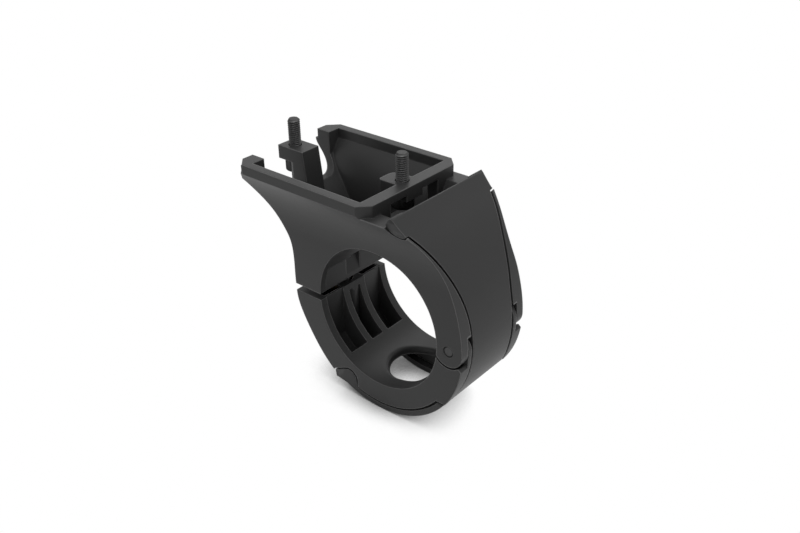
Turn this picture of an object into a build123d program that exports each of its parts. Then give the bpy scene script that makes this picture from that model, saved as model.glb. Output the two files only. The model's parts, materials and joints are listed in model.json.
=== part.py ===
from build123d import *
import math
import os

# E-bike display mount: a hinged clamp for a 35 mm handlebar with an open frame on top
# that carries a display on two upward studs, and a clip-on cover over the cable run.
# Frame: the bar runs along Y through the origin, the display seat is above it at +Z,
# and the hinge is on the +X side. All sizes are in millimetres.

# Handlebar bore and clamp ring
bar_d = 35.0
bore_r = bar_d / 2
half_w = 11.6  # half the ring's width along the bar
saddle_t = 2.2  # wall over the bar, under the open frame
split_top = 0.25  # underside of the bracket at the clamp gap
split_low = -1.5  # top of the jaw at the clamp gap

# Display frame
rim_top = 30.3
rim_low = 27.9  # where the flared body ends and the rim begins
rim_x0 = -38.2
rim_x1 = 2.2
rim_half = 16.55
rim_wall_y = 2.2
rim_wall_x0 = 3.9
rim_wall_x1 = 3.1
rim_chamfer = 2.6
lip = 0.75  # how far the rounded lip stands out past the rim at the front
flare_z = 14.5  # the sides start to flare out here
flare_half = 16.45  # half width reached at rim_low
frame_wall = 2.15
shoulder_z = 27.4  # top of the arms between the rim and the cover
gap_half = 10.8  # half the opening in the front end wall
gap_low = 20.5  # bottom of that opening
gap_r = 4.1  # rounding of its two lower corners

# Display studs: M3 x 10 socket head screws, heads below
stud_x0 = -35.0
stud_x1 = -1.4
stud_r = 1.5
stud_hole_r = 1.65
neck_r = 1.25  # neck between head and thread
neck_rise = 0.3  # the thread starts this far above the seat
stud_key = 2.5
stud_len = 10.0
head_r = 2.68
head_h = 2.86
seat_t = 3.4  # plate that each head bears on
seat_z = rim_top - seat_t
tower_half = 2.75
tower_x0 = -38.1
tower_x1 = -29.95
post_x0 = -34.0

# Clamp screw: M4 x 14 socket head screw into a square brass nut
clamp_x = -21.2
clamp_r = 1.95
clamp_hole_r = 2.2
clamp_len = 14.3
clamp_head_r = 3.5
clamp_head_h = 4.0
clamp_key = 3.0
clamp_seat = 9.0
nut_side = 6.0
nut_h = 3.2
nut_top = -2.1
nut_hole_r = 2.35

# Hinge
pin_x = 20.6
pin_z = 0.2
pin_r = 1.25
pin_fit = 0.05
pin_rim = 0.15  # countersink round each pin
pin_y1 = half_w - 0.2
lug_inner = 9.35  # inner face of each lug of the bracket
knuckle_outer = 9.15
shoulder_gap = 0.5  # room between each lug and the jaw's shoulder below it

# Cover
cover_t = 1.65
cover_sink = 0.1  # the cover sits this far below the arms' surface
cover_line = 0.46  # width of the line around the cover
tab_gap = 0.28  # room around each upper tab in its pocket
cover_gap = 0.3  # room between the cover and the jaw
cover_top = 30.1
cover_end = -125.5  # where the cover ends underneath, in degrees around the bar
tab_inner = 12.3
hook_inner = 10.0
hook_gap = 0.3
hook_angle = -116.0  # the skin and its seat are full width down to here, inside the hooks
exit_half = 7.0  # half the cable slot in the cover's lower end
slot_end = 4.3

# Cable path
channel_half = 7.0
cable_half = 4.6
pin_y0 = cable_half + 0.3  # inner end of each hinge pin
run_half = 8.3
shell_t = 1.65  # wall of the jaw around its cable hole
hole_half = 6.9
pocket_x = -17.65  # back wall of the jaw's pockets
pocket_end = -124.7  # where they end underneath, in degrees around the bar
rib_half = 3.8
flange_in = 9.6
boss_r = 4.1  # wall around the clamp screw
hole_mid = -77.0
hole_reach = 27.0
hole_round = 1.2  # rounding of the hole's edge in the bore

# Outside of the clamp, as angle and radius around the bar
outside = [
    (80.0, 33.70),
    (73.6, 31.38),
    (66.5, 29.64),
    (60.0, 28.72),
    (55.0, 28.05),
    (50.0, 27.35),
    (45.0, 26.71),
    (40.0, 26.17),
    (35.0, 25.72),
    (30.0, 25.34),
    (25.0, 25.00),
    (20.0, 24.72),
    (15.0, 24.54),
    (10.0, 24.44),
    (0.0, 24.40),
    (-15.0, 24.48),
    (-30.0, 24.60),
    (-50.0, 24.74),
    (-70.0, 24.88),
    (-90.0, 24.95),
    (-105.0, 24.90),
    (-118.0, 24.80),
    (-128.0, 24.72),
    (-145.0, 24.60),
]

# Front of the bracket, from the clamp gap up to the lip, and front of the jaw
bracket_front = [
    (-25.73, split_top),
    (-25.80, 4.5),
    (-25.92, 8.7),
    (-26.65, 12.0),
    (-28.70, 15.2),
    (-31.10, 18.3),
    (-34.30, 21.7),
    (-36.50, 24.0),
    (-38.05, 25.9),
    (-38.75, 26.9),
    (rim_x0 - lip, 27.9),
    (-38.65, 28.6),
    (-38.0, 28.95),
]
jaw_front = [
    (-25.65, split_low),
    (-25.20, -4.3),
    (-23.60, -8.1),
    (-21.45, -11.8),
    (-18.80, -15.6),
    (-14.71, -19.86),
]

# Half width of the cover by height, where it narrows past the hinge
cover_edge = [
    (10.80, -14.3),
    (9.85, -12.4),
    (9.07, -10.4),
    (8.52, -8.4),
    (8.18, -6.3),
    (7.96, -3.5),
    (7.82, 0.0),
    (7.82, 4.0),
    (8.06, 8.4),
    (8.82, 12.7),
    (9.92, 16.8),
    (11.52, 20.95),
    (13.57, 24.87),
    (14.85, 26.9),
]


def face(*edges):
    """A flat face inside a closed run of edges."""
    return make_face(Curve() + list(edges))


def through(outline, half):
    """An outline seen along the bar, made solid from -half to +half."""
    return extrude(Plane.XZ * outline, amount=half, both=True)


def sides(outline, inner, outer):
    """The same outline made solid on both sides, between two distances from the middle."""
    return through(outline, outer) - through(outline, inner)


def along(outline, x0, x1):
    """An outline seen from the rear, made solid from x0 to x1."""
    return extrude(Plane.YZ.offset(x0) * outline, amount=x1 - x0)


def block(x0, x1, half, z0, z1):
    """A box that is symmetric across the bar's length."""
    return Pos((x0 + x1) / 2, 0, (z0 + z1) / 2) * Box(x1 - x0, 2 * half, z1 - z0)


def barrel(x, z, r, y0, y1):
    """A cylinder that runs along the bar, from y0 to y1."""
    return Pos(x, (y0 + y1) / 2, z) * Rot(90, 0, 0) * Cylinder(r, y1 - y0)


def upright(x, r, z0, z1):
    """A cylinder that stands up at x, from z0 to z1."""
    return Pos(x, 0, (z0 + z1) / 2) * Cylinder(r, z1 - z0)


def rect(x0, x1, z0, z1):
    """A rectangle by its limits."""
    return Pos((x0 + x1) / 2, (z0 + z1) / 2) * Rectangle(x1 - x0, z1 - z0)


outer_curve = Spline(
    [
        (r * math.cos(math.radians(a)), r * math.sin(math.radians(a)))
        for a, r in outside
    ]
)


def inside(depth):
    """The area within the clamp's outside, less a depth, closed at the bar's centre."""
    steps = 44
    points = []
    for i in range(steps + 1):
        at = outer_curve @ (i / steps)
        go = outer_curve % (i / steps)
        points.append((at.X + go.Y * depth, at.Y - go.X * depth))
    first, last = points[0], points[-1]
    return face(
        Spline(points),
        Line(last, (0, 0)),
        Line((0, 0), (0, first[1])),
        Line((0, first[1]), first),
    )


def sector(first, last):
    """A wedge around the bar between two angles in degrees, out to well past the clamp."""
    steps = 12
    ends = [first + (last - first) * i / steps for i in range(steps + 1)]
    rim = [(60 * math.cos(math.radians(a)), 60 * math.sin(math.radians(a))) for a in ends]
    return Polygon((0, 0), *rim, align=None)


def on_bore(edge):
    """True for an edge that lies on the bore's surface all along."""
    points = [edge @ t for t in (0.1, 0.5, 0.9)]
    return all(abs(math.hypot(p.X, p.Z) - bore_r) < 0.02 for p in points)


def flare(less=0.0):
    """Cross section of the body: straight sides that flare out towards the rim."""
    rise = rim_low - flare_z
    out = flare_half - half_w
    radius = (rise * rise + out * out) / (2 * out)
    mid_z = flare_z + rise / 2
    mid = half_w + radius - math.sqrt(radius * radius - rise * rise / 4)
    low, high, middle = half_w - less, flare_half - less, mid - less
    slope = 1.1
    top = rim_low + 6
    wide = high + slope * 6
    return face(
        Line((-low, -30), (low, -30)),
        Line((low, -30), (low, flare_z)),
        ThreePointArc((low, flare_z), (middle, mid_z), (high, rim_low)),
        Line((high, rim_low), (wide, top)),
        Line((wide, top), (-wide, top)),
        Line((-wide, top), (-high, rim_low)),
        ThreePointArc((-high, rim_low), (-middle, mid_z), (-low, flare_z)),
        Line((-low, flare_z), (-low, -30)),
    )


def cover_shape(grow, full):
    """The cover's outline seen from the rear: narrow at the hinge, full width below."""
    edge = [(y + grow, z) for y, z in cover_edge]
    left = [(-y, z) for y, z in edge]
    low = cover_edge[0][1] - 0.3 + grow
    tab0 = cover_edge[-1][1] + (0.0 if grow > 0 else 0.2)
    tab1 = cover_top + 3
    t0, t1 = 15.65 + grow, 16.72 + grow
    y0, z0 = edge[0]
    y1, z1 = edge[-1]
    return face(
        Line((-full, -30), (full, -30)),
        Line((full, -30), (full, low)),
        Line((full, low), (y0, low)),
        Line((y0, low), (y0, z0)),
        Spline(edge),
        Line((y1, z1), (y1, tab0 + 0.01)),
        Line((y1, tab0 + 0.01), (t0, tab0 + 0.01)),
        Line((t0, tab0 + 0.01), (t1, tab1)),
        Line((t1, tab1), (-t1, tab1)),
        Line((-t1, tab1), (-t0, tab0 + 0.01)),
        Line((-t0, tab0 + 0.01), (-y1, tab0 + 0.01)),
        Line((-y1, tab0 + 0.01), (-y1, z1)),
        Spline(left[::-1]),
        Line((-y0, z0), (-y0, low)),
        Line((-y0, low), (-full, low)),
        Line((-full, low), (-full, -30)),
    )


bore = barrel(0, 0, bore_r, -40, 40)
pin_hole = barrel(pin_x, pin_z, pin_r + 0.02, -20, 20)
lobe_r = 24.4 - pin_x

# Outline of the cover's upper tabs, which hook behind the arms
tab_points = [
    (8.60, cover_top),
    (7.45, 29.0),
    (7.09, 27.8),
    (7.60, 26.8),
    (8.94, 26.09),
    (10.54, 25.82),
    (11.87, 26.2),
    (12.35, 26.95),
]


def tab_face(grow=0.0):
    """Outline of an upper tab, seen along the bar."""
    cx, cz = 9.9, 28.2
    points = []
    for x, z in tab_points:
        d = math.hypot(x - cx, z - cz)
        points.append((x + (x - cx) / d * grow, z + (z - cz) / d * grow))
    return face(Spline(points), Line(points[-1], points[0]))


def hook_face(g=0.0):
    """Outline of a lower hook, seen along the bar, grown by g and open below the clamp."""
    start = (-14.05 - g, -20.2 + g)
    crest = (-9.85 - g / 2, -18.1 + g)
    bend = (-7.45 + g, -18.8 + g)
    side = (-6.75 + g, -20.6)
    return face(
        Line(start, crest),
        ThreePointArc(crest, bend, side),
        Line(side, (side[0], -30)),
        Line((side[0], -30), (start[0], -30)),
        Line((start[0], -30), start),
    )


def make_bracket():
    """Upper half of the clamp with the display frame, moulded in one piece."""
    front = face(
        Spline(bracket_front),
        Line(bracket_front[-1], (0, bracket_front[-1][1])),
        Line((0, bracket_front[-1][1]), (0, 0)),
        Line((0, 0), (-25.73, 0)),
        Line((-25.73, 0), bracket_front[0]),
    )
    rear = inside(0.0) & (rect(-0.01, 40, pin_z, shoulder_z) + rect(-0.01, rim_x1, pin_z, rim_low))
    lobe = Pos(pin_x, pin_z) * Circle(lobe_r)
    body = through(front + rear + lobe, 20)
    body = body & along(flare(), -50, 40)
    plan = Rectangle(rim_x1 + 30 - rim_x0 + lip, 2 * flare_half)
    plan = Pos((rim_x1 + 30 + rim_x0 - lip) / 2, 0) * plan
    corners = plan.vertices().sort_by(Axis.X)[:2]
    body = body & extrude(chamfer(corners, rim_chamfer), amount=40, both=True)
    body = body - block(-40, 10, 40, -30, split_top)

    body = body - (block(rim_x0 + 0.3, 30, 40, rim_low, 40) + block(-60, 30, 13.0, rim_low, 40))

    # rim of the display seat
    rim = Rectangle(rim_x1 - rim_x0, 2 * rim_half)
    rim = Pos((rim_x0 + rim_x1) / 2, 0) * chamfer(rim.vertices(), rim_chamfer)
    rim = Pos(0, 0, shoulder_z) * extrude(rim, amount=rim_top - shoulder_z)
    body -= block(-5, 30, 40, shoulder_z, 40) - rim
    body += rim & block(-50, 30, 40, rim_low, 40)

    # inside of the frame, down to the saddle over the bar
    in_x0 = rim_x0 + rim_wall_x0
    in_x1 = rim_x1 - rim_wall_x1
    room = face(
        Line((in_x1, rim_low), (in_x0, rim_low)),
        Line((in_x0, rim_low), (in_x0, 24.6)),
        Spline(
            [(in_x0, 24.6), (-32.0, 21.6), (-29.0, 18.3), (-26.6, 14.8), (-24.7, 11.6), (-24.4, clamp_seat)]
        ),
        Line((-24.4, clamp_seat), (in_x1, clamp_seat)),
        Line((in_x1, clamp_seat), (in_x1, rim_low)),
    )
    hollow = through(room, 20) & along(flare(frame_wall), -45, 5)
    hollow += block(in_x0, in_x1, rim_half - rim_wall_y, rim_low - 0.1, rim_top + 1)

    # cable run between the arms, under the cover and under the rim's rear wall
    run = rect(rim_x1, 45, -5, 45)
    hollow += through(run, 20) & along(flare(half_w - channel_half), 0, 45)
    hollow += block(in_x1 - 0.1, rim_x1 + 0.1, 8.2, 10, rim_low + 0.6)
    body -= hollow - barrel(0, 0, bore_r + saddle_t, -40, 40)

    # seat for the cover: a step along each arm and a pocket for each upper tab
    step = inside(-2.0) - inside(cover_t + 0.2)
    body -= through(step, 20) & along(cover_shape(cover_line / 2, 20), 0, 45)
    body -= sides(tab_face(tab_gap), tab_inner - tab_gap, 20)

    # room for the jaw's knuckle between the lugs
    body -= barrel(pin_x, pin_z, 5.15, -lug_inner, lug_inner)
    body -= block(10, 40, lug_inner, -20, pin_z)

    # opening in the front end wall, down past the front stud
    gap_top = rim_top + 5
    gap = Pos(0, (gap_low + gap_top) / 2) * Rectangle(2 * gap_half, gap_top - gap_low)
    gap = fillet(gap.vertices().sort_by(Axis.Y)[:2], gap_r)
    body -= along(gap, rim_x0 - 5, -29)

    # tower for the front stud, with a groove for its head
    tower = Polygon(
        (tower_x0, rim_top),
        (tower_x1, rim_top),
        (-28.2, 17.0),
        (-31.4, 18.7),
        (post_x0, 21.5),
        (post_x0, seat_z),
        (tower_x0, seat_z),
        align=None,
    )
    body += through(tower, tower_half)
    body -= upright(stud_x0, head_r + 0.25, gap_low, seat_z)

    # boss for the rear stud in the rim's rear wall
    boss = rect(-6.0, rim_x1, -tower_half, tower_half)
    left = boss.vertices().sort_by(Axis.X)[:2].sort_by(Axis.Y)
    boss = fillet(left[1], 2.3)
    near = [v for v in boss.vertices() if v.X < -5.9 and v.Y < 0]
    boss = fillet(near, 0.8)
    round_boss = (Pos(stud_x1, 0) * Circle(3.6)) & rect(in_x1, rim_x1, -5, 5)
    body += Pos(0, 0, seat_z) * extrude(boss + round_boss, amount=seat_t)
    for x in (stud_x0, stud_x1):
        body -= upright(x, stud_hole_r, seat_z - 1, rim_top + 1)

    # clamp screw: seat, hole, and the relieved bore beside it
    body -= upright(clamp_x, clamp_head_r + 0.2, clamp_seat, clamp_seat + 6)
    body -= upright(clamp_x, clamp_hole_r, -1, clamp_seat + 1)
    body -= bore
    body -= block(-bore_r, -10, 9.7, -1, 6.8)
    taper = Polygon((-10, 7.4), (-18.9, 7.4), (-17.45, 1.2), (-10, 1.2), align=None)
    body -= through(taper, 2.35)

    # hinge: lug holes with a small countersink
    body -= pin_hole
    for s in (-1, 1):
        body -= Pos(pin_x, s * (half_w - 0.12), pin_z) * Rot(s * -90, 0, 0) * Cone(
            pin_r + 0.02, pin_r + pin_rim, 0.25
        )
    return body


def make_jaw():
    """Lower half of the clamp: hinge knuckles, cable hole, cored front and nut slot."""
    front = face(
        Spline(jaw_front),
        Line(jaw_front[-1], (0, 0)),
        Line((0, 0), (-10, 0)),
        Line((-10, 0), (-10, split_low)),
        Line((-10, split_low), jaw_front[0]),
    )
    ring = inside(0.0) & sector(-127, 60)
    low = (ring & rect(-40, 40, -40, pin_z)) + front
    shape = low - rect(-40, 0, split_low, 5)
    tip = Polygon((pin_x, -3.15), (23.55, -3.15), (24.9, -4.4), (40, -4.4), (40, 10), (pin_x, 10), align=None)
    outer_part = shape - (Pos(pin_x, pin_z) * Circle(lobe_r + shoulder_gap)) - tip
    outer_part = outer_part - rect(10, pin_x, -2.4, 10)
    knuckle = shape - rect(0, pin_x, pin_z - 0.01, 10)
    knuckle = knuckle + (Pos(pin_x, pin_z) * Circle(lobe_r))
    body = sides(outer_part, knuckle_outer - 0.001, half_w)
    body += through(knuckle, knuckle_outer)
    body -= bore

    # seat for the cover and its lower hooks
    seat = inside(-3.0) - inside(cover_t + cover_gap + cover_sink)
    step = through(seat & sector(hook_angle, 20), 20)
    step += through(seat & sector(cover_end - 1.2, hook_angle + 1), hook_inner)
    body -= step & along(cover_shape(cover_line / 2, 20), -30, 45)
    body -= sides(hook_face(hook_gap), hook_inner - hook_gap, 20)

    # cable run past the hinge and the hole into the bar
    gap = rect(10, 40, -4.6, 20)
    body -= through(gap, cable_half)
    run = inside(-3.0) - Circle(bore_r + shell_t)
    body -= through(run & sector(-107, -44), run_half) + through(run & sector(-46, 20), cable_half)
    length = 2 * bore_r * math.sin(math.radians(hole_reach))
    mouth = Rectangle(length, 2 * hole_half)
    low_end = [v for v in mouth.vertices() if v.X < 0]
    mouth = fillet(low_end, hole_half - 0.3)
    high_end = [v for v in mouth.vertices() if v.X > length / 2 - 0.01]
    mouth = fillet(high_end, 3.0)
    a = math.radians(hole_mid)
    out = Plane(origin=(0, 0, 0), x_dir=(-math.sin(a), 0, math.cos(a)), z_dir=(math.cos(a), 0, math.sin(a)))
    body -= extrude(out.offset(8) * mouth, amount=22)
    low_edges = [e for e in body.edges() if on_bore(e) and (e @ 0.5).Z < -bore_r / 2]
    body = fillet([e for e in low_edges if abs((e @ 0.5).Y) < hole_half + 0.1], hole_round)

    # cored front: three pockets towards the bar, and two from the clamp gap
    pocket = (rect(pocket_x, 0, -30, split_low + 1) & Circle(22.7)) & sector(-234.5, pocket_end)
    body -= sides(pocket, rib_half, flange_in)
    boss_wall = upright(clamp_x, boss_r, -30, 5)
    mid = (rect(-20.5, 0, -30, -3.0) & Circle(22.7)) & sector(-234.5, pocket_end)
    body -= through(mid, 1.95) - boss_wall
    top_pocket = rect(-23.4, pocket_x - 0.6, -7.5, split_low + 1)
    body -= sides(top_pocket, rib_half, flange_in)

    # nut slot, open towards the near pocket, and the clamp screw's hole
    slot_half = nut_side / 2 + 0.1
    slot = Pos(clamp_x, -0.35, nut_top - nut_h / 2 + 0.05)
    body -= slot * Box(2 * slot_half, nut_side + 1.0, nut_h + 0.1)
    body -= upright(clamp_x, nut_hole_r + 0.3, nut_top - nut_h - 3.0, 5)
    body -= barrel(pin_x, pin_z, pin_r + pin_fit, -20, 20)
    return body


def make_cover():
    """Thin clip-on cover over the cable run, with two upper tabs and two lower hooks."""
    skin = inside(cover_sink) - inside(cover_sink + cover_t)
    # its top end is square to the surface
    top_end = Polygon((-60, 23.2), (1.7, 23.2), (16.1, 37.0), (16.1, 60), (-60, 60), align=None)
    skin = (skin - top_end) & sector(cover_end, 90)
    body = through(skin, 20) & along(cover_shape(-cover_line / 2, half_w), -30, 45)

    # upper tabs
    width = face(
        Line((-15.1, 25.0), (15.1, 25.0)),
        Line((15.1, 25.0), (15.48, 27.1)),
        Line((15.48, 27.1), (16.05, cover_top)),
        Line((16.05, cover_top), (-16.05, cover_top)),
        Line((-16.05, cover_top), (-15.48, 27.1)),
        Line((-15.48, 27.1), (-15.1, 25.0)),
    )
    body += sides(tab_face() & inside(cover_sink), tab_inner, 20) & along(width, 0, 40)

    # lower hooks with a finger lip, in place of the skin's corners
    body -= sides(sector(-150, hook_angle), hook_inner, 20)
    hooks = hook_face() & inside(cover_sink)
    body += sides(hooks, hook_inner, half_w)
    lip_face = Polygon(
        (-14.0, -20.5), (-13.75, -22.0), (-12.3, -22.2), (-10.3, -22.48), (-10.3, -21.0), align=None
    )
    body += sides(lip_face - inside(cover_sink + cover_t), exit_half, half_w)

    # cable slot in the lower end
    slot = Rectangle(30, 2 * exit_half)
    corners = [v for v in slot.vertices() if v.X > 0]
    slot = Pos(slot_end - 15, 0) * fillet(corners, 3.0)
    body -= Pos(0, 0, -30) * extrude(slot, amount=14)
    return body


def make_pin(side):
    """Short hinge pin through one lug and its knuckle."""
    pin = barrel(pin_x, pin_z, pin_r, min(side * pin_y0, side * pin_y1), max(side * pin_y0, side * pin_y1))
    return chamfer(pin.edges().filter_by(GeomType.CIRCLE), 0.2)


def make_screw(x, seat, r, length, head, height, key, up):
    """Socket head screw that stands on the Z axis at x, with its head under or over its seat."""
    s = 1 if up else -1
    shank = Pos(x, 0, seat + s * length / 2) * Cylinder(r, length)
    tip = shank.edges().filter_by(GeomType.CIRCLE).sort_by(Axis.Z)[-1 if up else 0]
    shank = chamfer(tip, r * 0.24)
    cap = Pos(x, 0, seat - s * height / 2) * Cylinder(head, height)
    end = cap.edges().filter_by(GeomType.CIRCLE).sort_by(Axis.Z)[0 if up else -1]
    cap = fillet(end, 0.3)
    deep = height * 0.55
    socket = extrude(RegularPolygon(key / 2, 6, major_radius=False), amount=deep)
    low = seat - s * height
    cap -= Pos(x, 0, low if up else low - deep) * socket
    return shank + cap


def make_stud(x):
    """Display stud: a screw whose neck is thinner where it passes through its plate."""
    thread_z = rim_top + neck_rise
    screw = make_screw(x, seat_z, stud_r, stud_len, head_r, head_h, stud_key, True)
    return screw - (upright(x, stud_r + 1, seat_z, thread_z) - upright(x, neck_r, seat_z, thread_z))


def make_nut():
    """Square brass nut for the clamp screw."""
    nut = Pos(clamp_x, 0, nut_top - nut_h / 2) * Box(nut_side, nut_side, nut_h)
    nut = chamfer(nut.edges().filter_by(Axis.Z), 0.3)
    return nut - upright(clamp_x, nut_hole_r, -10, 5)


parts = {
    "bracket": make_bracket(),
    "lower_jaw": make_jaw(),
    "cover": make_cover(),
    "hinge_pin_near": make_pin(-1),
    "hinge_pin_far": make_pin(1),
    "front_stud_screw": make_stud(stud_x0),
    "rear_stud_screw": make_stud(stud_x1),
    "clamp_screw": make_screw(
        clamp_x, clamp_seat, clamp_r, clamp_len, clamp_head_r, clamp_head_h, clamp_key, False
    ),
    "clamp_nut": make_nut(),
}

os.makedirs("parts", exist_ok=True)
for name, part in parts.items():
    part.label = name
    export_step(part, "parts/" + name + ".step")
    print(name, len(part.solids()), round(part.volume, 1), part.bounding_box())
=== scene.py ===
# %% [markdown]
# A display mount for an e-bike's handlebar, dressed for a studio picture.
# The moulded halves, the pins and the nut come from the construction model, at their real size.
# This lesson gives them a finish, redraws the screws with real threads, copies the cover in thin
# bands around the hinge, and sets up the floor, the light and the camera of a plain product photo.

# %% Load the construction model
import bpy
import bmesh
import json
import math
from mathutils import Matrix, Vector


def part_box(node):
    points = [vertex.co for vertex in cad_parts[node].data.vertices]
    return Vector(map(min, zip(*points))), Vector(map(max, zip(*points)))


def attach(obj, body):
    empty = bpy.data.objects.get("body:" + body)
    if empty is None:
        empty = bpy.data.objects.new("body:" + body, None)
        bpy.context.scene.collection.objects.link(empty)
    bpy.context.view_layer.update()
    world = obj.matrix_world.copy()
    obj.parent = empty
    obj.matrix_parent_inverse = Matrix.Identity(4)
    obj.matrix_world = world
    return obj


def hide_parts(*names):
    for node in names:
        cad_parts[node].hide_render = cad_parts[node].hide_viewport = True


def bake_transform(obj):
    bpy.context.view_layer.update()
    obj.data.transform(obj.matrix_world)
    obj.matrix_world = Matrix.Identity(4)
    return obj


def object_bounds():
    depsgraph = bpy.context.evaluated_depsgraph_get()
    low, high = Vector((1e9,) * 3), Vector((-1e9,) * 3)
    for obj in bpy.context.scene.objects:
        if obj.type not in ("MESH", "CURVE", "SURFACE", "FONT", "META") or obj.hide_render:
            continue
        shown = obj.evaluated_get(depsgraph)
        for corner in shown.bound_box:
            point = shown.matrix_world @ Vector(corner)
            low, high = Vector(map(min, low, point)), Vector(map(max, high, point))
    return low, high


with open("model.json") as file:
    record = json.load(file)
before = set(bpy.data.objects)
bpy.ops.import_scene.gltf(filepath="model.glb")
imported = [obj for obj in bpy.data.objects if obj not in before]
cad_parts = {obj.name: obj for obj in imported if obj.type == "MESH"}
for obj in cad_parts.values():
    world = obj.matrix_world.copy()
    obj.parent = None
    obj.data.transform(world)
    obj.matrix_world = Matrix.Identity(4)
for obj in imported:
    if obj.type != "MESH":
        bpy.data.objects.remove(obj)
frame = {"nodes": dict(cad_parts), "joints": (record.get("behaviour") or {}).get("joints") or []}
cad_low, cad_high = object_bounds()
MM = 0.001
nodes = frame["nodes"]
print("pieces from the construction model:", ", ".join(sorted(nodes)))
print("size in mm:", [round(v / MM, 1) for v in cad_high - cad_low])

# %% [markdown]
# A finish is a small network of shader nodes, and most of its nodes do plain sums.
# Written as Python sums they can be read in one line each. A Socket stands for one output of a
# node: adding or multiplying two of them adds the Math node that does so. Vectors and colours go
# through Vector Math instead, because a Math node would turn them into one grey number.

# %% Sums of shader sockets
class Socket:
    """One output of a shader node, which can be used in sums."""

    def __init__(self, finish, output):
        self.finish = finish
        self.output = output
        self.is_vector = output.type in ("VECTOR", "RGBA")

    def sum(self, operation, first, second):
        vector = any(isinstance(item, Socket) and item.is_vector for item in (first, second))
        kind = "VectorMath" if vector else "Math"
        return self.finish.node(kind, {"operation": operation}, {0: first, 1: second})

    def __add__(self, other):
        return self.sum("ADD", self, other)

    def __radd__(self, other):
        return self.sum("ADD", other, self)

    def __sub__(self, other):
        return self.sum("SUBTRACT", self, other)

    def __rsub__(self, other):
        return self.sum("SUBTRACT", other, self)

    def __mul__(self, other):
        return self.sum("MULTIPLY", self, other)

    def __rmul__(self, other):
        return self.sum("MULTIPLY", other, self)

    def dot(self, other):
        inputs = {0: self, 1: other}
        return self.finish.node("VectorMath", {"operation": "DOT_PRODUCT"}, inputs, "Value")

    def clipped(self):
        return self.finish.node("Clamp", {}, {"Value": self})


print("sums ready: + - * with numbers on either side, dot and clipped")

# %% [markdown]
# Every node comes from one method. It takes the node's type, then its settings, which have to be
# set first because they decide which sockets the node shows, and then what goes into its
# sockets: a number, a colour or another Socket. A network belongs to a material or to the world,
# and its last node hands the result to its owner.

# %% A finish and its nodes
class Finish:
    """A network of nodes, for a material or for the world."""

    def __init__(self, owner):
        self.owner = owner
        owner.use_nodes = True
        self.tree = owner.node_tree
        self.tree.nodes.clear()

    def node(self, kind, settings, inputs, output=0):
        """Make a node, and give one of its outputs; the last node of a network has none."""
        made = self.tree.nodes.new("ShaderNode" + kind)
        for name, value in settings.items():
            setattr(made, name, value)
        for name, value in inputs.items():
            self.feed(self.find(made.inputs, name), value)
        return Socket(self, self.find(made.outputs, output)) if made.outputs else None

    def find(self, sockets, name):
        if isinstance(name, int):
            return sockets[name]
        return next(s for s in sockets if s.enabled and s.name == name)

    def feed(self, socket, value):
        if isinstance(value, Socket):
            self.tree.links.new(value.output, socket)
        elif socket.type == "VECTOR" and isinstance(value, (int, float)):
            socket.default_value = (value, value, value)
        else:
            socket.default_value = value

    def blend(self, share, first, second):
        inputs = {"Factor": share, "A": first, "B": second}
        return self.node("Mix", {"data_type": "RGBA"}, inputs, "Result")

    def seen(self):
        """1 for what the camera sees, also in a mirror or through glass, and 0 for plain light."""
        looks = ("Is Camera Ray", "Is Glossy Ray", "Is Transmission Ray")
        camera, mirror, glass = (self.node("LightPath", {}, {}, look) for look in looks)
        return (camera + mirror + glass).clipped()

    def show(self, shader, end="OutputMaterial"):
        self.node(end, {}, {"Surface": shader})
        return self.owner


def grey(level):
    """A grey as red, green, blue and alpha."""
    return (level, level, level, 1.0)


black = grey(0.0)
white = grey(1.0)
print("a finish is for a material or the world; its nodes come from one method")

# %% [markdown]
# The camera stands where the photographer's stood. Tried by eye, its place would leave every edge
# a little off, so place, turn and lens were worked out from the bore's two rims, the studs and the
# corners of the frame in the photo. A camera looks along its own -Z with +Y up, so three
# perpendicular directions make its matrix.

# %% The camera
camera_place = Vector((116.59, -139.55, 112.31)) * MM
camera_azimuth = math.radians(40.452)
camera_elevation = math.radians(29.623)
camera_roll = math.radians(-0.788)
camera_lens = 40.795
sensor_width = 36.0
nearest_seen = 10 * MM

back = Vector((
    math.sin(camera_azimuth) * math.cos(camera_elevation),
    -math.cos(camera_azimuth) * math.cos(camera_elevation),
    math.sin(camera_elevation),
))
level_right = Vector((0, 0, 1)).cross(back).normalized()
level_up = back.cross(level_right)
right = math.cos(camera_roll) * level_right + math.sin(camera_roll) * level_up
up = math.cos(camera_roll) * level_up - math.sin(camera_roll) * level_right


def put_in_scene(name, data):
    """An object in the scene that shows a mesh, a lamp or a camera."""
    made = bpy.data.objects.new(name, data)
    bpy.context.scene.collection.objects.link(made)
    return made


camera_data = bpy.data.cameras.new("camera")
camera_data.lens = camera_lens
camera_data.sensor_width = sensor_width
camera_data.clip_start = nearest_seen
camera = put_in_scene("camera", camera_data)
camera.matrix_world = Matrix((
    (right.x, up.x, back.x, camera_place.x),
    (right.y, up.y, back.y, camera_place.y),
    (right.z, up.z, back.z, camera_place.z),
    (0, 0, 0, 1),
))
bpy.context.scene.camera = camera
print("camera at", [round(v / MM, 1) for v in camera.location], "mm")

# %% [markdown]
# The real mount was photographed on pure white, standing on its clamp, with one soft shadow.
# More light would make any floor white, but it would also bounce up and wash the object out. So
# what is seen of this floor, by the camera or in a glossy face, is its own glow, and only plain
# bounced light meets its paint. The glow is white in the open and darker where the object is
# near: an Ambient Occlusion node counts how much of the sky over the floor is open. Its sky is
# tilted to the right and the back, so the shadow falls to the lower left.

# %% The floor's finish
floor_paint = grey(0.75)
floor_rough = 0.9
shadow_colour = grey(0.10)
shadow_reach = 19 * MM
shadow_from = (0.30, 0.50, 0.81)
shadow_samples = 16
shadow_gain = 2.7
shadow_offset = 0.66


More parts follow.
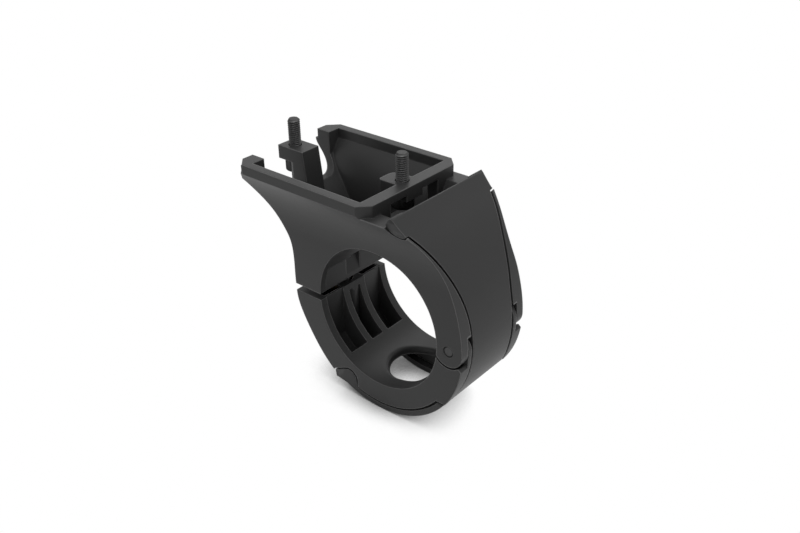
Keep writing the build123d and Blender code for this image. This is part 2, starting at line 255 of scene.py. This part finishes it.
def floor_finish():
    finish = Finish(bpy.data.materials.new("pale floor"))
    seen = finish.seen()
    tilt = finish.node("CombineXYZ", {}, dict(enumerate(shadow_from)))
    sky = {"Distance": shadow_reach, "Normal": tilt}
    open_sky = finish.node("AmbientOcclusion", {"samples": shadow_samples}, sky, "AO")
    lit = (open_sky * shadow_gain - shadow_offset).clipped()
    surface = finish.node("BsdfPrincipled", {}, {
        "Base Color": finish.blend(seen, floor_paint, black),
        "Roughness": floor_rough,
        "Specular IOR Level": 0.0,
        "Emission Color": finish.blend(seen, black, finish.blend(lit, shadow_colour, white)),
        "Emission Strength": 1.0,
    })
    return finish.show(surface)


pale_floor = floor_finish()
print("floor glows white, and", shadow_colour[0], "at the darkest")

# %% [markdown]
# The floor itself is a plain flat disc. Its end doesn't show, because floor and sky are equally
# white. It lies a hair below the object's lowest point, because two faces in exactly the same
# place would show as speckles.

# %% The floor
floor_radius = 0.9
floor_sides = 96
floor_gap = 0.02 * MM


def make_floor():
    mesh = bpy.data.meshes.new("floor")
    build = bmesh.new()
    bmesh.ops.create_circle(build, cap_ends=True, segments=floor_sides, radius=floor_radius)
    build.to_mesh(mesh)
    build.free()
    mesh.materials.append(pale_floor)
    floor = put_in_scene("floor", mesh)
    floor.location.z = cad_low.z - floor_gap
    return floor


floor = make_floor()
print("floor at z", round(floor.location.z / MM, 2), "mm")

# %% [markdown]
# The light is soft and comes from nearly everywhere, as in a photographer's light tent. Lamps
# alone would leave hard shadows in the frame and the bore, so a pale sky gives about half of it.
# Wide panels above and behind make the upper faces and the edges that face them a little lighter,
# and two weak ones at the right and in front keep the sides from going black. What is seen of the
# sky, by the camera or in a glossy face, has a strength of 1, which is white.

# %% The light
sky_light = 0.45
sky_seen = 1.0

# The name of each panel, its place and width in mm, and its power in watts.
panels = [
    ("panel above", (30, -60, 330), 220, 0.36),
    ("panel in front", (-220, -330, 90), 240, 0.06),
    ("panel behind", (-80, 180, 270), 160, 0.26),
    ("panel at the right", (330, 60, 160), 220, 0.10),
]


def make_sky():
    finish = Finish(bpy.data.worlds.new("sky"))
    plain = finish.node("Background", {}, {"Color": white, "Strength": sky_light})
    bright = finish.node("Background", {}, {"Color": white, "Strength": sky_seen})
    sky = finish.node("MixShader", {}, {0: finish.seen(), 1: plain, 2: bright})
    bpy.context.scene.world = finish.show(sky, "OutputWorld")


def make_panel(name, place, width, power):
    """A square lamp that faces the middle of the bore."""
    data = bpy.data.lights.new(name, "AREA")
    data.shape = "SQUARE"
    data.size = width * MM
    data.energy = power
    panel = put_in_scene(name, data)
    panel.location = Vector(place) * MM
    panel.rotation_mode = "QUATERNION"
    panel.rotation_quaternion = panel.location.to_track_quat("Z", "Y")


make_sky()
for panel in panels:
    make_panel(*panel)
bpy.context.scene.view_settings.view_transform = "Standard"
print("sky and", len(panels), "soft panels")

# %% [markdown]
# Plastic and metal are marked alike: ridges get a painted highlight, gaps get painted shade, and the rest
# is grained and a little patchy. This could be painted by hand, but nodes find it from the shape itself.
# Two Ambient Occlusion nodes tell ridges from gaps: one looks into the material, where only an
# outer edge is close to another face, and the other looks out of it, where only a gap or an inner
# corner is. The Bevel node rounds edges in the shading alone: it looks at the faces nearby and
# turns the normal smoothly from one to the next. A Bump node adds the grain to that normal.

# %% Ridges, gaps and grain
mask_samples = 8
ridge_reach = 0.32 * MM
ridge_gain = 2.6
ridge_offset = 0.4
gap_reach = 0.9 * MM
gap_gain = 2.4
gap_offset = 0.9
bump_strength = 0.3


def ridges(finish):
    """1 on outer edges and 0 on flat faces."""
    settings = {"inside": True, "only_local": True, "samples": mask_samples}
    inward = finish.node("AmbientOcclusion", settings, {"Distance": ridge_reach}, "AO")
    return ((1.0 - inward) * ridge_gain - ridge_offset).clipped()


def gaps(finish):
    """1 in gaps and inner corners, and 0 on open faces."""
    outward = finish.node("AmbientOcclusion", {"samples": mask_samples}, {"Distance": gap_reach}, "AO")
    return ((1.0 - outward) * gap_gain - gap_offset).clipped()


def noise(finish, scale, detail):
    """Soft spots with values around 0.5, smaller for a larger scale."""
    place = finish.node("TexCoord", {}, {}, "Object")
    return finish.node("TexNoise", {}, {"Vector": place, "Scale": scale, "Detail": detail}, "Fac")


def rounded(finish, radius, samples):
    """The normal that the faces would have with rounded edges."""
    return finish.node("Bevel", {"samples": samples}, {"Radius": radius}, "Normal")


def grained(finish, normal, height, depth):
    """The same normal with fine relief added: a height from noise, over a depth."""
    inputs = {"Strength": bump_strength, "Distance": depth, "Height": height, "Normal": normal}
    return finish.node("Bump", {}, inputs)


print("ridges within", round(ridge_reach / MM, 2), "mm, gaps within", round(gap_reach / MM, 2), "mm")

# %% [markdown]
# The two clamp halves are moulded in black plastic with a fine matt texture. A mould never leaves
# a knife edge: every edge is rounded by a few tenths of a millimetre, and that thin line catches
# the light. The construction model keeps its edges sharp, and its meshes aren't changed, so the
# rounding is left to the finish. The texture is far too fine for a mesh, so it is a bump.

# %% The moulded plastic
grain_scale = 5200.0
grain_depth = 0.012 * MM
grain_gloss = 0.10
cloud_scale = 55.0
cloud_tone = 0.07
cloud_gloss = 0.06
# Painted highlight: the outer edges of the plastic get a paler colour, patchy with the clouds.
ridge_highlight = 0.9
ridge_highlight_level = 5.0
highlight_least = 0.6
highlight_range = 0.8
# Painted shade: gaps and inner corners of the plastic get a darker colour.
gap_shade = 0.9
gap_shade_level = 0.15
plastic_shine = 0.20
plastic_samples = 6


def moulded_plastic(name, level, rough, rounding):
    """Black plastic of a grey level and roughness, with edges rounded by a radius."""
    finish = Finish(bpy.data.materials.new(name))
    grain = noise(finish, grain_scale, detail=2.0)
    cloud = noise(finish, cloud_scale, detail=3.0)
    # A painted highlight along the outer edges, standing in for light on a rounded edge.
    edge_highlight = ridges(finish) * ridge_highlight * (highlight_least + cloud * highlight_range)
    clouded = finish.blend(cloud, grey(level * (1 - cloud_tone)), grey(level * (1 + cloud_tone)))
    highlighted = finish.blend(edge_highlight, clouded, grey(level * ridge_highlight_level))
    surface = finish.node("BsdfPrincipled", {}, {
        # Painted shade in gaps and inner corners, laid over the painted highlight.
        "Base Color": finish.blend(gaps(finish) * gap_shade, highlighted, grey(level * gap_shade_level)),
        "Roughness": rough + (grain - 0.5) * grain_gloss + (cloud - 0.5) * cloud_gloss,
        "Specular IOR Level": plastic_shine,
        "Normal": grained(finish, rounded(finish, rounding, plastic_samples), grain, grain_depth),
    })
    return finish.show(surface)


def dress(piece, material):
    piece.data.materials.clear()
    piece.data.materials.append(material)


black_plastic = moulded_plastic("black plastic", level=0.036, rough=0.42, rounding=0.50 * MM)
# The cover is the same plastic, set a little darker as painted shade for its side.
shaded_cover_plastic = moulded_plastic("shaded cover plastic", level=0.031, rough=0.44, rounding=0.55 * MM)
for name in ("bracket", "lower_jaw"):
    dress(nodes[name], black_plastic)
print("plastic on the bracket and the lower jaw")

# %% [markdown]
# The dark line between the cover and the arms is an open joint, a few tenths of a millimetre wide.
# In the construction model this joint is tighter, so the cover's copy is nudged: it is made a
# hair narrower, its tabs end a hair higher, and below the hinge its inner side and its hooks are
# lifted off the jaw. Moving the points of the copy by rule keeps every form that the model has.

# %% Room around the cover
hinge = Vector(frame["joints"][0]["pos_m"])
bend_reach = 6.6 * MM

# Where things are on the cover: half widths along the bar, heights, radii around the bore, and
# how far forward the hooks reach.
flat_half = 6.0 * MM
tab_side = 14.9 * MM
tab_low = 25.6 * MM
tab_zone = 1.4 * MM
skin_middle = 24.0 * MM
skin_inner = 22.6 * MM
hook_tip = -12.0 * MM
hook_long = 4.0 * MM

# How far the faces of the joint are moved apart.
line_room = 0.2 * MM
tab_room = 0.12 * MM
hook_room = 0.24 * MM


def share_between(value, none, whole):
    """0 up to one value, 1 from the other, and evenly in between."""
    return min(1.0, max(0.0, (value - none) / (whole - none)))


def loosen_sides(point):
    """Raise the tabs' lower ends, and bring both sides of the cover in."""
    if abs(point.co.y) > tab_side and tab_low < point.co.z < tab_low + tab_zone:
        point.co.z += tab_room
    if abs(point.co.y) > flat_half:
        point.co.y -= math.copysign(line_room, point.co.y)


def loosen_below(point):
    """Lift the cover's inner side and its hooks off the jaw, more and more below the hinge."""
    outward = Vector((point.co.x, 0, point.co.z))
    if outward.length > skin_middle:
        return
    share = share_between(point.co.z, hinge.z - bend_reach, hinge.z - 2 * bend_reach)
    if outward.length < skin_inner:
        point.co.x -= hook_room * share * share_between(point.co.x, hook_tip, hook_tip + hook_long)
    point.co += outward.normalized() * hook_room * share


print("joint made wider by", round(line_room / MM, 2), "mm on each side of the cover")

# %% [markdown]
# The cover bridges the hinge. On the real mount it comes off before the jaw opens, but here it
# stays on, and a stiff cover could only stay behind or cut into the jaw. A mesh can only bend where
# it has rows of points, so the copy is sliced into thin bands around the hinge.

# %% The cover
band = 0.5 * MM
same_point = 0.0005 * MM
cover_crease = math.radians(28)


def slice_around_hinge(build):
    for i in range(int(2 * bend_reach / band) + 1):
        height = hinge.z - bend_reach + i * band
        parts = build.verts[:] + build.edges[:] + build.faces[:]
        bmesh.ops.bisect_plane(build, geom=parts, plane_co=(0, 0, height), plane_no=(0, 0, 1))
    bmesh.ops.triangulate(build, faces=build.faces)


def smooth_up_to(mesh, crease):
    """Smooth shading, with an edge where two faces meet at more than an angle."""
    for face in mesh.polygons:
        face.use_smooth = True
    mesh.set_sharp_from_angle(angle=crease)


def make_cover():
    mesh = nodes["cover"].data.copy()
    mesh.name = "clip_on_cover"
    build = bmesh.new()
    build.from_mesh(mesh)
    bmesh.ops.remove_doubles(build, verts=build.verts, dist=same_point)
    for point in build.verts:
        loosen_sides(point)
        loosen_below(point)
    slice_around_hinge(build)
    build.to_mesh(mesh)
    build.free()
    smooth_up_to(mesh, cover_crease)
    cover = put_in_scene("clip_on_cover", mesh)
    dress(cover, shaded_cover_plastic)
    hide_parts("cover")
    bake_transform(cover)
    return cover


cover = make_cover()
print("cover has", len(cover.data.polygons), "faces")

# %% [markdown]
# A real screw is turned, and the construction model has it as a plain cylinder with a head. A
# thread could be a bump on that cylinder, but its outline would stay straight, and the studs stand
# against a white background. So a screw's mesh is made as on a lathe, from a stack of rings that
# each have a height and a radius, and flat caps close both ends.

# %% Rings on a lathe
around = 60
lathe_crease = math.radians(38)


def lathe(name, rings):
    """A mesh from rings (height, radius) in mm, where a radius may be a function of the angle."""
    points = []
    for height, radius in rings:
        for i in range(around):
            angle = 2 * math.pi * i / around
            r = radius(angle) if callable(radius) else radius
            points.append((r * math.cos(angle) * MM, r * math.sin(angle) * MM, height * MM))
    faces = []
    for row in range(0, (len(rings) - 1) * around, around):
        for i in range(around):
            j = (i + 1) % around
            faces.append((row + i, row + j, row + around + j, row + around + i))
    first_cap = len(points)
    last_cap = first_cap + 1
    last_row = first_cap - around
    points.append((0, 0, rings[0][0] * MM))
    points.append((0, 0, rings[-1][0] * MM))
    for i in range(around):
        j = (i + 1) % around
        faces.append((first_cap, j, i))
        faces.append((last_cap, last_row + i, last_row + j))
    mesh = bpy.data.meshes.new(name)
    mesh.from_pydata(points, [], faces)
    smooth_up_to(mesh, lathe_crease)
    return mesh


print("a ring has", around, "points")

# %% [markdown]
# Three shapes aren't round, but still have one radius for each direction, so a ring can have
# them: the hexagonal socket for the key, the fine ribs around the head, and the thread. On a
# thread, going once round shifts the groove up by one pitch, and that makes the helix.

# %% Rings that aren't round
flank_slope = 1.35
crest_width = 0.2


def hexagon(across):
    """Radius of a hexagonal hole by direction, from its width across flats."""
    return lambda angle: across / 2 / math.cos((angle + math.pi / 6) % (math.pi / 3) - math.pi / 6)


def knurl(radius, count, depth):
    """Radius of a ribbed head by direction."""
    return lambda angle: radius - depth * (0.5 + 0.5 * math.cos(count * angle))


def groove(height, radius, depth, pitch):
    """Radius of a thread by direction at one height: a helical V groove with blunt crests."""
    def at(angle):
        turn = (height / pitch - angle / (2 * math.pi)) % 1.0
        dip = 1.0 - abs(2 * turn - 1)
        return radius - depth * min(1.0, max(0.0, flank_slope * dip - crest_width))
    return at


sample = hexagon(2.5)
print("a 2.5 mm hexagon has radii from", round(sample(0.0), 2), "to", round(sample(math.pi / 6), 2), "mm")

# %% [markdown]
# A socket head screw from bottom to top: the hexagonal socket's floor and wall, the ribbed head
# with rounded corners, the neck, the thread, and a chamfered tip where the thread fades.
# The heights are measured from the face under the head, where the screw bears on its seat.

# %% The rings of a socket head screw
rows_per_pitch = 8
ribs = 30

# The socket's depth as a share of the head's height, the thread's depth as a share of its pitch,
# and the tip's chamfer as a share of the screw's radius.
socket_share = 0.55
thread_share = 0.54
tip_share = 0.24

# Small sizes in mm.
socket_middle = 0.02
tip_point = 0.02
corner = 0.3
rib_depth = 0.07
foot_height = 0.25
foot_step = 0.2

# A rounded corner of size 1: how far up and how far in its points are.
corner_arc = ((0.0, 1.0), (0.1, 0.5), (0.4, 0.15))


def screw_rings(radius, length, pitch, neck_radius, neck_length, head_radius, head_height, key):
    """Rings of a screw, with all of its sizes in mm."""
    ribbed = knurl(head_radius, ribs, rib_depth)
    socket_floor = socket_share * head_height - head_height
    rings = [
        (socket_floor, socket_middle),
        (socket_floor, hexagon(key)),
        (-head_height, hexagon(key)),
    ]
    for rise, inset in corner_arc:
        rings.append((-head_height + rise * corner, head_radius - inset * corner))
    rings += [
        (-head_height + corner, ribbed),
        (-foot_height, ribbed),
        (0.0, head_radius - foot_step),
        (0.0, neck_radius),
        (neck_length, neck_radius),
    ]
    tip = tip_share * radius
    threaded = length - neck_length - tip
    rows = int(threaded / pitch * rows_per_pitch)
    for i in range(rows + 1):
        height = neck_length + threaded * i / rows
        rings.append((height, groove(height, radius, thread_share * pitch, pitch)))
    rings.append((length, radius - tip - tip_point))
    return rings


print("a thread has", rows_per_pitch, "rings to a turn")

# %% [markdown]
# At the photo's scale the studs are 3 mm thick, which makes them M3 screws with a pitch of
# 0.5 mm. The screw that closes the clamp is hidden. It was guessed to be an M4 screw with a pitch
# of 0.7 mm, which is common in clamps of this size. Only the sizes of the two kinds differ.

# %% The sizes of the screws
stud_rings = screw_rings(
    radius=1.5, length=10.0, pitch=0.5, neck_radius=1.25, neck_length=3.4,
    head_radius=2.68, head_height=2.86, key=2.5,
)
clamp_rings = screw_rings(
    radius=1.95, length=14.3, pitch=0.7, neck_radius=1.6, neck_length=1.2,
    head_radius=3.5, head_height=4.0, key=3.0,
)
print("rings in a stud:", len(stud_rings), "and in the clamp screw:", len(clamp_rings))

# %% [markdown]
# Two screws stand up with their heads below, as the studs that carry the display, and one hangs
# head up in the bracket and closes the clamp. Each takes the place of its plain cylinder in the
# construction model, so its seat is found from that node's box, by the height of the head.

# %% The screws
def make_screw(node, body, rings, stands):
    """A screw on the seat of the node that it replaces, head down if it stands, or head up."""
    low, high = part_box(node)
    middle = (low + high) / 2
    head = -min(height for height, radius in rings) * MM
    seat = low.z + head if stands else high.z - head
    turn = Matrix.Identity(4) if stands else Matrix.Rotation(math.pi, 4, "X")
    mesh = lathe(node.replace("_screw", "_bolt"), rings)
    mesh.transform(Matrix.Translation((middle.x, middle.y, seat)) @ turn)
    bolt = put_in_scene(mesh.name, mesh)
    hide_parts(node)
    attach(bolt, body)
    return bolt


bolts = [
    make_screw("front_stud_screw", "bracket_body", stud_rings, stands=True),
    make_screw("rear_stud_screw", "bracket_body", stud_rings, stands=True),
    make_screw("clamp_screw", "bracket_body", clamp_rings, stands=False),
]
for bolt in bolts:
    print(bolt.name, len(bolt.data.polygons), "faces")

# %% [markdown]
# The screws are steel with a black oxide finish, dark and a little glossy, with a painted highlight on
# top and on the edges and painted shade in the grooves. The hinge pins are plain ground steel, and
# the nut is brass that has gone dull. One function makes all three, with random stains and the same
# painted highlight and shade. A thread's edges are too close together for the ridges above, so an
# edge is found where the rounded normal turns away from the flat one. On metal the colour is the
# reflection's own tint, and a tint for the rim keeps the round studs from shining white along their
# sides.

# %% A metal with stains, painted highlights and painted shade
metal_rounding = 0.10 * MM
metal_samples = 4
metal_depth = 0.006 * MM
metal_gloss = 0.16
metal_shine = 0.20
rim_tint = grey(0.30)
# The colour of the painted shade in grooves and gaps.
groove_shade = grey(0.01)
edge_gain = 4.0
fineness = 9
by_chance = 0.4
highlight_on_edges = 0.6
highlight_on_top = 0.7
shade_in_gaps = 0.8


def metal_with_stains_and_painted_light(name, dark, pale, rough, metallic, scale):
    """Metal with painted shade in its gaps, a painted highlight on its edges and top, and stains of a
    scale.
    """
    finish = Finish(bpy.data.materials.new(name))
    stain = noise(finish, scale, detail=4.0)
    scratch = noise(finish, scale * fineness, detail=2.0)
    normal = rounded(finish, metal_rounding, metal_samples)
    flat = finish.node("NewGeometry", {}, {}, "Normal")
    edge = ((1.0 - normal.dot(flat)) * edge_gain).clipped()
    upward = flat.dot((0.0, 0.0, 1.0)).clipped()
    gap = gaps(finish)
    # Random stains, plus a painted highlight on edges and on faces that look up, minus painted shade in
    # gaps.
    stain_and_highlight = (stain * by_chance + edge * highlight_on_edges + upward * highlight_on_top - gap * shade_in_gaps).clipped()
    surface = finish.node("BsdfPrincipled", {}, {
        # Painted shade in the gaps over the stained and highlighted colour.
        "Base Color": finish.blend(gap, finish.blend(stain_and_highlight, dark, pale), groove_shade),
        "Metallic": metallic,
        "Specular Tint": rim_tint,
        "Specular IOR Level": metal_shine,
        "Roughness": rough + (stain - 0.5) * metal_gloss,
        "Normal": grained(finish, normal, scratch, metal_depth),
    })
    return finish.show(surface)


print("metal is rounded by", round(metal_rounding / MM, 2), "mm on its edges")

# %% [markdown]
# The three metals differ in colour, gloss and the size of their stains. Black oxide is a dull
# coat over the steel and the pins are dull from grinding, so both are only partly metallic here,
# and brass is wholly so. Only a glint of the nut is seen, but it is the object's one warm colour.

# %% The three metals
black_steel = metal_with_stains_and_painted_light(
    "black oxide steel", dark=grey(0.020), pale=grey(0.105), rough=0.42, metallic=0.75, scale=700.0
)
pin_steel = metal_with_stains_and_painted_light(
    "ground steel", dark=grey(0.065), pale=grey(0.115), rough=0.50, metallic=0.6, scale=900.0
)
dark_brass = (0.13, 0.10, 0.05, 1.0)
pale_brass = (0.28, 0.21, 0.11, 1.0)
brass = metal_with_stains_and_painted_light("dull brass", dark=dark_brass, pale=pale_brass, rough=0.45, metallic=1.0, scale=500.0)

for bolt in bolts:
    dress(bolt, black_steel)
for name in ("hinge_pin_near", "hinge_pin_far"):
    dress(nodes[name], pin_steel)
dress(nodes["clamp_nut"], brass)
print("metals on the screws, the pins and the nut")
